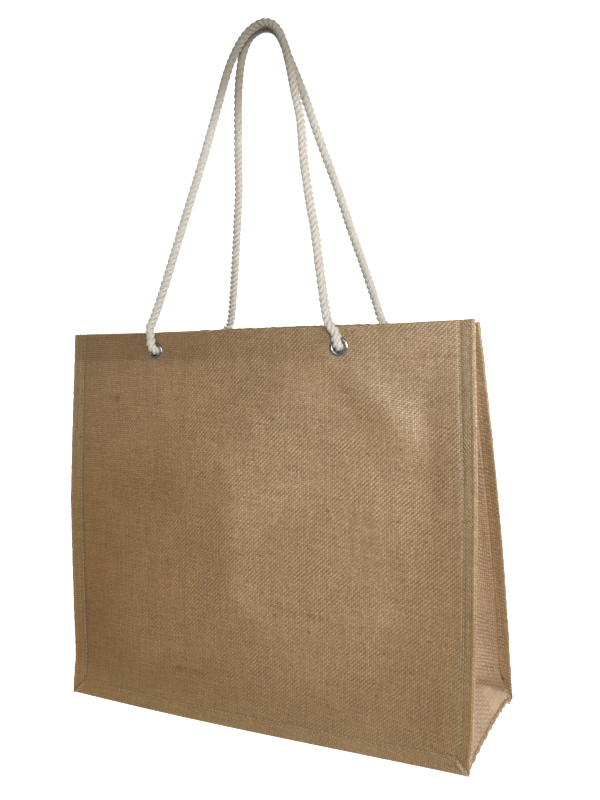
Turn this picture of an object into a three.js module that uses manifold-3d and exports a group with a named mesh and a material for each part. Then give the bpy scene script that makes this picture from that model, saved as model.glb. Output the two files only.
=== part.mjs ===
// A woven jute tote bag that hangs by its two twisted rope handles. Millimetres, +Z up.
// The bag is drawn upright about the middle of its base: X to the right, Y to the back.
// Its group is then tilted a little, so that its weight hangs right under the point
// that holds the handles, and that point is the origin.
import * as THREE from 'three';
import Module from 'manifold-3d';
import { mergeVertices } from 'three/addons/utils/BufferGeometryUtils.js';

const wasm = await Module();
wasm.setup();

// Cloth and outline of the bag
const WIDTH = 430;
const HEIGHT = 376;
const DEPTH = 152;
const CLOTH = 1.4;
const HEM = 29;
const HEM_PLY = 1.3;
const FLANGE = 14;
const SEAM_GAP = 0.5;
const SEAM_DIP = 0.8;
const SEAM_DIP_RUN = 12;
const SEAM_TURN = 2.2;
const BASE_DRAW_IN = 0.011;
const BASE_SAG = 3.4;
const SAG_FADE = 0.75;

// How far the mouth's ends and the middles of its two long edges stand from its centre line
const MOUTH_END = 22;
const MOUTH_FRONT = 42;
const MOUTH_BACK = 84;
const MOUTH_FORWARD = 4;
const BACK_DROP = 3;
const BACK_RIGHT = 2;
const BACK_BOW = 3.2;
const TIP_RISE = 1.6;
const FOLD_FADE = 30;

// Folded side gussets
const FOLD_ROUND = 4;
const FOLD_CROWN = 0.04;
const LEAF_STEPS = [0.35, 0.7];
const CREASE_SHARE_LEAST = 0.03;
const CREASE_SHARE_MOST = 0.94;
const SIDE_HEM_PLY = HEM_PLY * 0.8;
const CORNER_RUN = 34;
const CORNER_PINCH = 2;
const CORNER_PULL = 1;
const CORNER_LIFT = 2;
const TIP_TRIM = 0.6;
const FLOOR_SAG = 4;

// Half of the gusset strip's width, and how high the triangle at its foot reaches
const HALF_STRIP = DEPTH / 2 - CLOTH - SEAM_GAP - SEAM_TURN;
const TIP_HEIGHT = HALF_STRIP / (1 + (HALF_STRIP - MOUTH_END) / HEIGHT);

// Eyelets, washers and rope
const EYELET_SPREAD = 98;
const EYELET_DROP = 18;
const HOLE_RADIUS = 5.3;
const BARREL_RADIUS = 6.0;
const FLANGE_RADIUS = 8.7;
const HOLE_CUT = BARREL_RADIUS + 0.3;
const EYELET_SIDES = 18;
const EYELET_PLATE = 0.9;
const EYELET_DOME = 1.1;
const EYELET_DOME_RISE = EYELET_PLATE * 1.4;
const EYELET_LIP = 1.2;
const DRILL = 20;
const ROPE_RADIUS = 4.5;
const ROPE_GROOVE = 0.95;
const ROPE_LAY = 16.5;
const STRANDS = 3;
const STEPS_PER_LAY = 6;
const KNOT_RADIUS = 12.5;
const KNOT_SQUASH = 0.86;
const KNOT_FACE = 3.5;
const KNOT_GROOVE = 0.13;
const KNOT_SIDES = 14;
const KNOT_RINGS = 9;
const KNOT_TURNS = 2;
const KNOT_SLANT = 4;
const TAIL = 20;
const TAIL_SIDES = 9;
const FIT = 0.3;
const HEM_SLACK = 0.4;

// Inner face of the hem, where a washer lies, counted from the middle of the cloth
const WASHER_Y = -(CLOTH / 2 + HEM_PLY + FIT + HEM_SLACK);

// The point that holds the handles, and the middle of the bag's weight
const HANG_X = 18;
const HANG_Z = 642;
const WEIGHT_Z = 165;

const COLOURS = {
  jute: 0x9c8156,
  gusset: 0xa88a60,
  rope: 0xd8cfbd,
  nickel: 0xb9bbbe,
};

// Outline of the front panel's side edges: height as a share, and how far the edge stands out
const LEFT_EDGE = [
  { up: 0, out: 0 },
  { up: 0.11, out: -3.2 },
  { up: 0.25, out: 0 },
  { up: 0.54, out: 4.8 },
  { up: 0.7, out: 3.6 },
  { up: 1, out: 0 },
];
const RIGHT_EDGE = [
  { up: 0, out: 0 },
  { up: 0.08, out: 2.7 },
  { up: 0.167, out: 3.5 },
  { up: 0.3, out: 4.3 },
  { up: 0.65, out: 3.7 },
  { up: 1, out: 0 },
];

// Soft ridges and troughs of the panels: middle, direction, half length, half width and rise
const FRONT_FOLDS = [
  { across: 32, up: 300, turn: 42, long: 62, wide: 24, rise: 2.4 },
  { across: -13, up: 180, turn: 88, long: 90, wide: 24, rise: 2.2 },
  { across: 142, up: 300, turn: -55, long: 56, wide: 19, rise: 2.2 },
  { across: 176, up: 262, turn: 90, long: 84, wide: 17, rise: -1.8 },
  { across: 100, up: 312, turn: -52, long: 44, wide: 20, rise: -1.5 },
  { across: -120, up: 190, turn: 90, long: 80, wide: 50, rise: -2.0 },
  { across: 90, up: 120, turn: 20, long: 90, wide: 50, rise: 1.6 },
];
const BACK_FOLDS = [
  { across: -60, up: 250, turn: 60, long: 90, wide: 26, rise: 2.4 },
  { across: 70, up: 230, turn: -62, long: 90, wide: 26, rise: 2.2 },
  { across: 10, up: 120, turn: 0, long: 120, wide: 40, rise: -2.2 },
];

// Middle line of each rope between its two eyelets, left to right
const FRONT_ROUTE = [
  { x: -99.2, y: -48.6, z: 377 },
  { x: -96.5, y: -46.4, z: 384 },
  { x: -88.6, y: -42.2, z: 405 },
  { x: -66.7, y: -31.4, z: 468 },
  { x: -44.9, y: -20.5, z: 531 },
  { x: -31.4, y: -13.1, z: 574 },
  { x: -18.5, y: -6.8, z: 614 },
  { x: -12.2, y: -5.3, z: 626 },
  { x: -4.5, y: -5.2, z: 636 },
  { x: 5.7, y: -5.2, z: 644.2 },
  { x: 18.4, y: -5.2, z: 648.2 },
  { x: 28.6, y: -5.2, z: 645.8 },
  { x: 35.4, y: -5.3, z: 638.5 },
  { x: 39.6, y: -5.6, z: 629 },
  { x: 43.4, y: -6.4, z: 616.7 },
  { x: 52.3, y: -12, z: 581 },
  { x: 58.1, y: -15.7, z: 558 },
  { x: 63.3, y: -22.8, z: 518 },
  { x: 68.8, y: -28, z: 488 },
  { x: 75.7, y: -33.4, z: 456.5 },
  { x: 82.4, y: -40.2, z: 417 },
  { x: 88.6, y: -46, z: 385 },
  { x: 91.6, y: -48.4, z: 376 },
];
const BACK_ROUTE = [
  { x: -85.6, y: 73.2, z: 371.5 },
  { x: -81.2, y: 71, z: 379 },
  { x: -72.6, y: 63.9, z: 402 },
  { x: -57.3, y: 50.7, z: 451 },
  { x: -48.7, y: 42.9, z: 480 },
  { x: -40.9, y: 35.8, z: 507 },
  { x: -36.2, y: 30.2, z: 528 },
  { x: -28.3, y: 20.6, z: 564 },
  { x: -19.4, y: 10.9, z: 600 },
  { x: -12.8, y: 6.4, z: 619 },
  { x: -8.2, y: 5.4, z: 630.4 },
  { x: -2.3, y: 5.2, z: 639.4 },
  { x: 5.8, y: 5.2, z: 645.2 },
  { x: 14.6, y: 5.2, z: 646.8 },
  { x: 23.4, y: 5.2, z: 644.6 },
  { x: 30.2, y: 5.2, z: 638.6 },
  { x: 34.4, y: 5.3, z: 630 },
  { x: 38, y: 6.2, z: 619 },
  { x: 47.2, y: 14.6, z: 586.7 },
  { x: 56.1, y: 25.4, z: 545.8 },
  { x: 66.2, y: 36.7, z: 503.6 },
  { x: 74.8, y: 48.2, z: 460.4 },
  { x: 84.3, y: 59.9, z: 417 },
  { x: 91.4, y: 70.4, z: 379 },
  { x: 92.8, y: 72.8, z: 371.5 },
];

// Rope in an eyelet: out along the hole's axis, and up along the cloth
const EYELET_BEND = [
  { out: -3.2, up: -0.1 },
  { out: -0.4, up: 0.1 },
  { out: 2.2, up: 0.5 },
  { out: 4.6, up: 1.6 },
  { out: 6.3, up: 3.4 },
  { out: 7.3, up: 6.2 },
  { out: 7.4, up: 10 },
];

const FRONT = -1;
const BACK = 1;

const lerp = THREE.MathUtils.lerp;
const clamp = THREE.MathUtils.clamp;

function smooth(share) {
  const k = clamp(share, 0, 1);
  return k * k * (3 - 2 * k);
}

// Reads a column of a short table between its rows
function read(rows, key, value, at) {
  let low = rows[0];
  for (const row of rows) {
    if (row[key] >= at) {
      const span = row[key] - low[key];
      return span > 0 ? lerp(low[value], row[value], (at - low[key]) / span) : row[value];
    }
    low = row;
  }
  return low[value];
}

// The stitching draws the cloth in along the sides and the bottom, a flange's width from the edge
function seamDip(across, up) {
  const inward = Math.min(WIDTH / 2 - Math.abs(across), up);
  return inward < FLANGE ? inward / FLANGE : clamp(1 - (inward - FLANGE) / SEAM_DIP_RUN, 0, 1);
}

// Height of the soft folds of a panel, fading out towards its seams
function relief(side, across, up) {
  const edge = Math.min(WIDTH / 2 - FLANGE - Math.abs(across), up - FLANGE, HEIGHT - HEM - up);
  const fade = smooth(edge / FOLD_FADE);
  let sum = 0;
  for (const fold of side === FRONT ? FRONT_FOLDS : BACK_FOLDS) {
    const turn = THREE.MathUtils.degToRad(fold.turn);
    const dx = across - fold.across;
    const dz = up - fold.up;
    const along = (dx * Math.cos(turn) + dz * Math.sin(turn)) / fold.long;
    const off = (dz * Math.cos(turn) - dx * Math.sin(turn)) / fold.wide;
    sum += fold.rise * Math.exp(-along * along - off * off);
  }
  return sum * fade - SEAM_DIP * seamDip(across, up);
}

// A point in the middle of a panel's cloth: across from its centre line and up from its lower edge
function wall(side, across, up) {
  const middle = side === FRONT ? MOUTH_FRONT : MOUTH_BACK;
  const k = up / HEIGHT;
  const u = across / WIDTH + 0.5;
  const mouth = MOUTH_END + (middle - MOUTH_END) * Math.cos((Math.PI * across) / WIDTH);
  const slope = ((middle - MOUTH_END) * Math.PI) / WIDTH;
  const wave = across / 2 - (WIDTH / (4 * Math.PI)) * Math.sin((2 * Math.PI * across) / WIDTH);
  let x = across * (1 - BASE_DRAW_IN * (1 - k)) - ((slope * slope) / 2) * wave * k;
  let z = up * Math.sqrt(1 - ((DEPTH / 2 - MOUTH_END) / HEIGHT) ** 2);
  if (side === FRONT) {
    x += u * read(RIGHT_EDGE, 'up', 'out', k) - (1 - u) * read(LEFT_EDGE, 'up', 'out', k);
    z -= (1 - k) * BASE_SAG * Math.sin(Math.PI * u) * (1 - SAG_FADE * u);
    z += TIP_RISE * k ** 8 * Math.max(0, 2 * u - 1) ** 6;
  } else {
    x += (2 * u - 1) * BACK_BOW * Math.sin(Math.PI * k) + BACK_RIGHT * k;
    z -= BACK_DROP * k;
  }
  const lean = side * lerp(DEPTH / 2, mouth, k) - MOUTH_FORWARD * k;
  return new THREE.Vector3(x, lean + side * relief(side, across, up), z);
}

// The way out of the bag at a point of a panel
function wallOut(side, across, up) {
  const step = 2;
  const right = wall(side, across + step, up).sub(wall(side, across - step, up));
  const rise = wall(side, across, up + step).sub(wall(side, across, up - step));
  return right.cross(rise).multiplyScalar(-side).normalize();
}

// The gusset's own seam edge, lying on the inside of the panel
function seamPoint(side, across, up) {
  const point = wall(side, across, up);
  point.y -= side * (CLOTH + SEAM_GAP);
  return point;
}

function finish(geometry) {
  geometry.deleteAttribute('normal');
  geometry.deleteAttribute('uv');
  return mergeVertices(geometry, 1e-4);
}

function volumeOf(positions, triangles) {
  let volume = 0;
  const a = new THREE.Vector3();
  const b = new THREE.Vector3();
  const c = new THREE.Vector3();
  for (let i = 0; i < triangles.length; i += 3) {
    a.fromArray(positions, triangles[i] * 3);
    b.fromArray(positions, triangles[i + 1] * 3);
    c.fromArray(positions, triangles[i + 2] * 3);
    volume += a.dot(b.cross(c)) / 6;
  }
  return volume;
}

// A closed sheet about a grid of middle points, with its own half thickness on either face
function sheetSolid(grid, above, below) {
  const rows = grid.length;
  const cols = grid[0].length;
  const positions = [];
  const lower = rows * cols;
  const at = (i, j) => grid[clamp(i, 0, rows - 1)][clamp(j, 0, cols - 1)];
  const layers = [above, (i, j) => -below(i, j)];
  for (const layer of layers) {
    for (let i = 0; i < rows; i++) {
      for (let j = 0; j < cols; j++) {
        const alongRows = at(i + 1, j).clone().sub(at(i - 1, j)).normalize();
        const back = at(i, j).clone().sub(at(i, j - 1)).normalize();
        const ahead = at(i, j + 1).clone().sub(at(i, j)).normalize();
        const normal = alongRows.cross(back.add(ahead).normalize()).normalize();
        const point = grid[i][j].clone().addScaledVector(normal, layer(i, j));
        positions.push(point.x, point.y, point.z);
      }
    }
  }
  let triangles = [];
  const quad = (a, b, c, d) => triangles.push(a, b, c, a, c, d);
  for (let i = 0; i < rows - 1; i++) {
    for (let j = 0; j < cols - 1; j++) {
      const a = i * cols + j;
      quad(a, a + cols, a + cols + 1, a + 1);
      quad(lower + a, lower + a + 1, lower + a + cols + 1, lower + a + cols);
    }
  }
  for (let i = 0; i < rows - 1; i++) {
    const left = i * cols;
    const right = left + cols - 1;
    quad(left, lower + left, lower + left + cols, left + cols);
    quad(right, right + cols, lower + right + cols, lower + right);
  }
  for (let j = 0; j < cols - 1; j++) {
    const top = (rows - 1) * cols + j;
    quad(j, j + 1, lower + j + 1, lower + j);
    quad(top, lower + top, lower + top + 1, top + 1);
  }
  if (volumeOf(positions, triangles) < 0) {
    triangles = triangles.reverse();
  }
  const geometry = new THREE.BufferGeometry();
  geometry.setAttribute('position', new THREE.Float32BufferAttribute(positions, 3));
  geometry.setIndex(triangles);
  return geometry;
}

function toManifold(geometry) {
  const merged = finish(geometry);
  const mesh = new wasm.Mesh({
    numProp: 3,
    vertProperties: new Float32Array(merged.attributes.position.array),
    triVerts: new Uint32Array(merged.index.array),
  });
  return new wasm.Manifold(mesh);
}

function toGeometry(solid) {
  const mesh = solid.getMesh();
  const geometry = new THREE.BufferGeometry();
  geometry.setAttribute('position', new THREE.Float32BufferAttribute(mesh.vertProperties, 3));
  geometry.setIndex(Array.from(mesh.triVerts));
  return geometry;
}

// Even steps from one value to another, the last one left out
function steps(from, to, count) {
  return Array.from({ length: count }, (_, i) => lerp(from, to, i / count));
}

const COLUMN_COUNT = 16;
const ROW_COUNT = 11;
const PANEL_COLUMNS = [
  -WIDTH / 2,
  ...steps(FLANGE - WIDTH / 2, WIDTH / 2 - FLANGE, COLUMN_COUNT),
  WIDTH / 2 - FLANGE,
  WIDTH / 2,
];
const PANEL_ROWS = [
  0,
  ...steps(FLANGE, HEIGHT - HEM - 1, ROW_COUNT),
  HEIGHT - HEM - 1,
  HEIGHT - HEM + 1,
  HEIGHT - HEM / 2,
  HEIGHT,
];

const unitY = new THREE.Vector3(0, 1, 0);
const unitZ = new THREE.Vector3(0, 0, 1);

// Where an eyelet sits in a panel: its middle, its axis out of the bag, and up along the cloth
function eyeletFrame(side, end) {
  const across = end * EYELET_SPREAD;
  const up = HEIGHT - EYELET_DROP;
  const centre = wall(side, across, up);
  const out = wallOut(side, across, up);
  const rise = unitZ.clone().addScaledVector(out, -out.z).normalize();
  return { centre, out, rise };
}

function panelSolid(side) {
  const grid = PANEL_ROWS.map((up) => PANEL_COLUMNS.map((across) => wall(side, across, up)));
  const hemmed = (i, j) =>
    PANEL_ROWS[i] > HEIGHT - HEM && Math.abs(PANEL_COLUMNS[j]) < WIDTH / 2 - FLANGE - 1;
  const outer = () => CLOTH / 2;
  const inner = (i, j) => CLOTH / 2 + (hemmed(i, j) ? HEM_PLY : 0);
  const facesOut = side === FRONT;
  const sheet = sheetSolid(grid, facesOut ? inner : outer, facesOut ? outer : inner);
  let solid = toManifold(sheet);
  for (const end of [-1, 1]) {
    const { centre, out } = eyeletFrame(side, end);
    const drill = new THREE.CylinderGeometry(HOLE_CUT, HOLE_CUT, DRILL, EYELET_SIDES);
    drill.applyQuaternion(new THREE.Quaternion().setFromUnitVectors(unitY, out));
    drill.translate(centre.x, centre.y, centre.z);
    solid = solid.subtract(toManifold(drill));
  }
  return toGeometry(solid);
}

// One cross-section of the gusset strip, from the front seam's edge to the back seam's edge
function gussetSection(front, back, crease, pull, sag) {
  const points = [front.edge, front.seam];
  const near = front.seam.clone();
  near.y += SEAM_TURN;
  const far = back.seam.clone();
  far.y -= SEAM_TURN;
  const half = (far.y - near.y) / 2;
  const share = clamp(crease / half, CREASE_SHARE_LEAST, CREASE_SHARE_MOST);
  const leaf = [-1, ...LEAF_STEPS.map((step) => lerp(-1, -share, step)), -share];
  const shares = [...leaf, 0, ...leaf.map((s) => -s).reverse()];
  for (const s of shares) {
    const edge = near.clone().lerp(far, (s + 1) / 2);
    const inFold = Math.abs(s) <= share;
    const fold = 1 - clamp((Math.abs(s) - share) / (1 - share), 0, 1);
    const crown = inFold ? 1 - FOLD_CROWN * (s / share) ** 2 : 1 - FOLD_CROWN;
    edge.addScaledVector(pull, fold * crown);
    edge.addScaledVector(sag, 1 - s * s);
    points.push(edge);
  }
  points.push(back.seam, back.edge);
  return points;
}

// How wide the pinched seam is near a bottom corner, where the strip runs out to the tip
function pinch(distance) {
  return lerp(CORNER_PINCH, FLANGE, smooth(distance / CORNER_RUN));
}

function sideSection(end, up) {
  const inset = pinch(up);
  const lines = [FRONT, BACK].map((side) => ({
    edge: seamPoint(side, (end * WIDTH) / 2, up),
    seam: seamPoint(side, end * (WIDTH / 2 - inset), up),
  }));
  const half = (lines[1].seam.y - lines[0].seam.y) / 2 - SEAM_TURN;
  const fold = Math.sqrt(Math.max(0, HALF_STRIP ** 2 - half ** 2));
  const foldAtTip = Math.sqrt(HALF_STRIP ** 2 - TIP_HEIGHT ** 2);
  const k = clamp(up / TIP_HEIGHT, 0, 1);
  const pulled = k < 1 ? foldAtTip * k + CORNER_PULL * (1 - k) ** 2 : fold;
  const crease = lerp(HALF_STRIP, FOLD_ROUND, k);
  const pull = new THREE.Vector3(-end * Math.max(pulled - (inset - CORNER_PINCH) * (1 - k), 1), 0, 0);
  return gussetSection(lines[0], lines[1], crease, pull, new THREE.Vector3());
}

function cornerSection(end) {
  const lines = [FRONT, BACK].map((side) => ({
    edge: seamPoint(side, end * (WIDTH / 2 - TIP_TRIM), TIP_TRIM),
    seam: seamPoint(side, end * (WIDTH / 2 - CORNER_PINCH), CORNER_PINCH),
  }));
  const fold = new THREE.Vector3();
  const sag = new THREE.Vector3(-end * CORNER_PULL, 0, CORNER_LIFT);
  return gussetSection(lines[0], lines[1], HALF_STRIP, fold, sag);
}

function floorSection(across) {
  const distance = WIDTH / 2 - Math.abs(across);
  const inset = pinch(distance);
  const lines = [FRONT, BACK].map((side) => ({
    edge: seamPoint(side, across, 0),
    seam: seamPoint(side, across, inset),
  }));
  const fold = new THREE.Vector3();
  const sag = new THREE.Vector3(0, 0, lerp(CORNER_LIFT, -FLOOR_SAG, smooth(distance / CORNER_RUN)));
  return gussetSection(lines[0], lines[1], HALF_STRIP, fold, sag);
}

// The strip that makes the two sides and the base, from one end of the mouth round to the other
function gussetSolid() {
  const heights = [...PANEL_ROWS].reverse().slice(0, -1);
  const low = FLANGE / 2;
  const sideRows = [...heights, low, TIP_HEIGHT].sort((a, b) => b - a);
  const floorColumns = [
    -WIDTH / 2 + low,
    ...PANEL_COLUMNS.slice(1, -1),
    WIDTH / 2 - low,
    CORNER_RUN - WIDTH / 2,
    WIDTH / 2 - CORNER_RUN,
  ].sort((a, b) => a - b);
  const grid = [
    ...sideRows.map((up) => sideSection(-1, up)),
    cornerSection(-1),
    ...floorColumns.map((across) => floorSection(across)),
    cornerSection(1),
    ...[...sideRows].reverse().map((up) => sideSection(1, up)),
  ];
  const hemRows = sideRows.filter((up) => up > HEIGHT - HEM).length;
  const last = grid[0].length - 1;
  const inner = (i, j) => {
    const hem = i < hemRows || i >= grid.length - hemRows;
    return CLOTH / 2 + (hem && j > 2 && j < last - 2 ? SIDE_HEM_PLY : 0);
  };
  return sheetSolid(grid, () => CLOTH / 2, inner);
}

function turned(profile) {
  const points = profile.map((row) => new THREE.Vector2(row.r, row.y));
  return new THREE.LatheGeometry([...points, points[0]].reverse(), EYELET_SIDES);
}

// Eyelet with its barrel through the hem, rolled over the washer on the inside
function eyeletSolid() {
  const face = CLOTH / 2 + FIT;
  const lip = WASHER_Y - EYELET_PLATE - FIT;
  return turned([
    { r: HOLE_RADIUS, y: face + EYELET_PLATE / 2 },
    { r: HOLE_RADIUS + EYELET_DOME, y: face + EYELET_DOME_RISE },
    { r: FLANGE_RADIUS, y: face },
    { r: BARREL_RADIUS, y: face },
    { r: BARREL_RADIUS, y: lip },
    { r: BARREL_RADIUS + EYELET_LIP, y: lip },
    { r: BARREL_RADIUS + EYELET_LIP / 4, y: lip - EYELET_PLATE },
    { r: HOLE_RADIUS, y: lip - EYELET_PLATE / 3 },
  ]);
}

function washerSolid() {
  return turned([
    { r: HOLE_CUT, y: WASHER_Y },
    { r: FLANGE_RADIUS, y: WASHER_Y },
    { r: FLANGE_RADIUS, y: WASHER_Y - EYELET_PLATE },
    { r: HOLE_CUT, y: WASHER_Y - EYELET_PLATE },
  ]);
}

// The rope's way: out of the left eyelet, up, over and down into the right eyelet
function ropeCurve(side) {
  const bend = (end) => {
    const { centre, out, rise } = eyeletFrame(side, end);
    return EYELET_BEND.map((row) =>
      centre.clone().addScaledVector(out, row.out).addScaledVector(rise, row.up));
  };
  const free = (side === FRONT ? FRONT_ROUTE : BACK_ROUTE).map(
    (row) => new THREE.Vector3(row.x, row.y, row.z));
  const points = [...bend(-1), ...free, ...bend(1).reverse()];
  const curve = new THREE.CatmullRomCurve3(points, false, 'centripetal');
  curve.arcLengthDivisions = 2000;
  return curve;
}

// Three strands side by side: a peak for each, and the groove between two
function ropeSection() {
  const shape = new THREE.Shape();
  const corners = STRANDS * 3;
  for (let i = 0; i < corners; i++) {
    const angle = (i * 2 * Math.PI) / corners;
    const radius = i % 3 === 0 ? ROPE_RADIUS : ROPE_RADIUS - ROPE_GROOVE;
    const x = radius * Math.cos(angle);
    const y = radius * Math.sin(angle);
    if (i === 0) {
      shape.moveTo(x, y);
    } else {
      shape.lineTo(x, y);
    }
  }
  shape.closePath();
  return shape;
}

// A straight extrusion of the strands, twisted and laid along the rope's way
function ropeSolid(side) {
  const curve = ropeCurve(side);
  const length = curve.getLength();
  const count = Math.round((length / ROPE_LAY) * STEPS_PER_LAY);
  const straight = new THREE.ExtrudeGeometry(ropeSection(), {
    depth: length,
    steps: count,
    bevelEnabled: false,
  });
  const frames = curve.computeFrenetFrames(count, false);
  const centres = Array.from({ length: count + 1 }, (_, i) => curve.getPointAt(i / count));
  const position = straight.attributes.position;
  for (let i = 0; i < position.count; i++) {
    const share = position.getZ(i) / length;
    const step = Math.round(share * count);
    const twist = (2 * Math.PI * position.getZ(i)) / ROPE_LAY;
    const x = position.getX(i) * Math.cos(twist) - position.getY(i) * Math.sin(twist);
    const y = position.getX(i) * Math.sin(twist) + position.getY(i) * Math.cos(twist);
    const point = centres[step].clone()
      .addScaledVector(frames.normals[step], x)
      .addScaledVector(frames.binormals[step], y);
    position.setXYZ(i, point.x, point.y, point.z);
  }
  return finish(straight);
}

// A stopper knot: a ball with the rope's turns raised on it, and a short tail hanging from it
function knotSolid() {
  const ball = new THREE.SphereGeometry(KNOT_RADIUS, KNOT_SIDES, KNOT_RINGS);
  const position = ball.attributes.position;
  for (let i = 0; i < position.count; i++) {
    const point = new THREE.Vector3().fromBufferAttribute(position, i);
    const around = Math.atan2(point.z, point.x);
    const height = point.y / KNOT_RADIUS;
    const wave = (1 + Math.cos(KNOT_TURNS * around + KNOT_SLANT * height)) / 2;
    const girth = 1 - KNOT_GROOVE * (1 - height * height) * wave;
    position.setXYZ(i, point.x * girth, point.y * KNOT_SQUASH, point.z * girth);
  }
  const tail = new THREE.CylinderGeometry(ROPE_RADIUS - FIT, ROPE_RADIUS, TAIL, TAIL_SIDES);
  tail.rotateX(Math.PI / 2);
  tail.translate(KNOT_RADIUS / 4, -KNOT_RADIUS / 4, -KNOT_RADIUS - TAIL / 4);
  return toGeometry(toManifold(ball).add(toManifold(tail)));
}

function material(colour, roughness, metalness) {
  return new THREE.MeshStandardMaterial({ color: colour, roughness, metalness });
}

function piece(name, geometry, look) {
  const mesh = new THREE.Mesh(geometry, look);
  mesh.name = name;
  return mesh;
}

const hung = new THREE.Group();
const bag = new THREE.Group();
hung.add(bag);

bag.add(piece('front_panel', panelSolid(FRONT), material(COLOURS.jute, 0.95, 0)));
bag.add(piece('back_panel', panelSolid(BACK), material(COLOURS.jute, 0.95, 0)));
bag.add(piece('gusset', gussetSolid(), material(COLOURS.gusset, 0.95, 0)));

for (const [word, side] of [['front', FRONT], ['back', BACK]]) {
  bag.add(piece(`rope_${word}`, ropeSolid(side), material(COLOURS.rope, 0.9, 0)));
  for (const [hand, end] of [['left', -1], ['right', 1]]) {
    const { centre, out, rise } = eyeletFrame(side, end);
    const basis = new THREE.Matrix4().makeBasis(out.clone().cross(rise), out, rise);
    const place = (part, outward) => {
      part.quaternion.setFromRotationMatrix(basis);
      part.position.copy(centre).addScaledVector(out, outward);
      bag.add(part);
    };
    const seat = -KNOT_FACE - KNOT_RADIUS * KNOT_SQUASH;
    place(piece(`eyelet_${word}_${hand}`, eyeletSolid(), material(COLOURS.nickel, 0.25, 1)), 0);
    place(piece(`washer_${word}_${hand}`, washerSolid(), material(COLOURS.nickel, 0.35, 1)), 0);
    place(piece(`knot_${word}_${hand}`, knotSolid(), material(COLOURS.rope, 0.9, 0)), seat);
  }
}

// The holding point becomes the origin, with the bag's weight right below it
bag.position.set(-HANG_X, 0, -HANG_Z);
hung.rotation.y = -Math.atan2(HANG_X, HANG_Z - WEIGHT_Z);

export default hung;
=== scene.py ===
"""Looks of a woven jute tote bag that hangs by its two twisted rope handles.

Shapes are worked out in millimetres in the bag's own upright frame: the origin is the middle
of the base, X goes right, Y back and Z up. place() then turns them into the row frame.
"""

import math

import bpy
import numpy as np
from mathutils import Matrix, Vector


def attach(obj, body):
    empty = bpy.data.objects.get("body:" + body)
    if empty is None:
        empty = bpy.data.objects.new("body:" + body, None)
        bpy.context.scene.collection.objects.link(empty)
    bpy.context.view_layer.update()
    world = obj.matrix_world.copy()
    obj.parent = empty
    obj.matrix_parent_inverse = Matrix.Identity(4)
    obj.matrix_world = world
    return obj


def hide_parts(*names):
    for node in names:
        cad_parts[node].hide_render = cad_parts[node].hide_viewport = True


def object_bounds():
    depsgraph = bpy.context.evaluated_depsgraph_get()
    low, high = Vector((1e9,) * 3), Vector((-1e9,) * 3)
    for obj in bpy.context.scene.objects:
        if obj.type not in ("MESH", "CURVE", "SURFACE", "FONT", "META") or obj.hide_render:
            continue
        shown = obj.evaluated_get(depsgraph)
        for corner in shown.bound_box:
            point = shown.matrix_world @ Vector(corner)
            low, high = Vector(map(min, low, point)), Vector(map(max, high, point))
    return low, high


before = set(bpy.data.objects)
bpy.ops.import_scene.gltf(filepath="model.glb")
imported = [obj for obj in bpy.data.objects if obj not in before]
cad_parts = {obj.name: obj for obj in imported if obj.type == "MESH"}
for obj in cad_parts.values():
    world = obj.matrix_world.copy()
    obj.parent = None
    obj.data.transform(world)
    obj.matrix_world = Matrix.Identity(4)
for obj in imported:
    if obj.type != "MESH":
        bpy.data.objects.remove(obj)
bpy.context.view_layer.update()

# Sizes shared with the part's source, in millimetres
WIDTH, HEIGHT, DEPTH = 430.0, 376.0, 152.0
CLOTH, HEM, HEM_PLY, FLANGE = 1.4, 29.0, 1.3, 14.0
SEAM_GAP, SEAM_DIP, SEAM_DIP_RUN, SEAM_TURN = 0.5, 0.8, 12.0, 2.2
BASE_DRAW_IN, BASE_SAG, SAG_FADE = 0.011, 3.4, 0.75
MOUTH_END, MOUTH_FRONT, MOUTH_BACK, MOUTH_FORWARD = 22.0, 42.0, 84.0, 4.0
BACK_DROP, BACK_RIGHT, BACK_BOW, TIP_RISE, FOLD_FADE = 3.0, 2.0, 3.2, 1.6, 30.0
FOLD_ROUND, FOLD_CROWN, CREASE_LEAST, CREASE_MOST, SIDE_HEM_PLY = 4.0, 0.04, 0.03, 0.94, HEM_PLY * 0.8
CORNER_RUN, CORNER_PINCH, CORNER_PULL = 34.0, 2.0, 1.0
CORNER_LIFT, TIP_TRIM, FLOOR_SAG = 2.0, 0.6, 4.0
HALF_STRIP = DEPTH / 2 - CLOTH - SEAM_GAP - SEAM_TURN
TIP_HEIGHT = HALF_STRIP / (1 + (HALF_STRIP - MOUTH_END) / HEIGHT)
HALF, HEM_LINE = WIDTH / 2, HEIGHT - HEM
EYELET_SPREAD, EYELET_UP = 98.0, HEIGHT - 18.0
HOLE_RADIUS, BARREL_RADIUS, FLANGE_RADIUS, HOLE_CUT = 5.3, 6.0, 8.7, 6.3
EYELET_PLATE, FIT = 0.9, 0.3
WASHER_Y = -(CLOTH / 2 + HEM_PLY + FIT + 0.4)
ROPE_RADIUS, ROPE_LAY = 4.5, 16.5
KNOT_RADIUS, KNOT_SQUASH, KNOT_FACE, TAIL = 12.5, 0.86, 3.5, 20.0
HANG_X, HANG_Z, WEIGHT_Z = 18.0, 642.0, 165.0
TILT = -math.atan2(HANG_X, HANG_Z - WEIGHT_Z)

# How far apart the yarns lie, across and up a panel
WARP_PITCH, WEFT_PITCH = 1.873, 2.008
# How far in from the edge the stitches run: at the left, at the base, at the right and more at the top right
STITCH_LEFT, STITCH_BASE, STITCH_RIGHT, STITCH_WIDENS = 15.0, 13.4, 10.2, 2.4
STITCH_PITCH, STITCH_LONG, STITCH_RADIUS = 3.9, 2.9, 0.45
# How far the fold across a flange's bottom corner reaches
MITRE_REACH, DIAGONAL = 19.0, 1.4142
FRONT, BACK = -1, 1
SIDES, HANDS = (("front", FRONT), ("back", BACK)), (("left", -1), ("right", 1))

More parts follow.
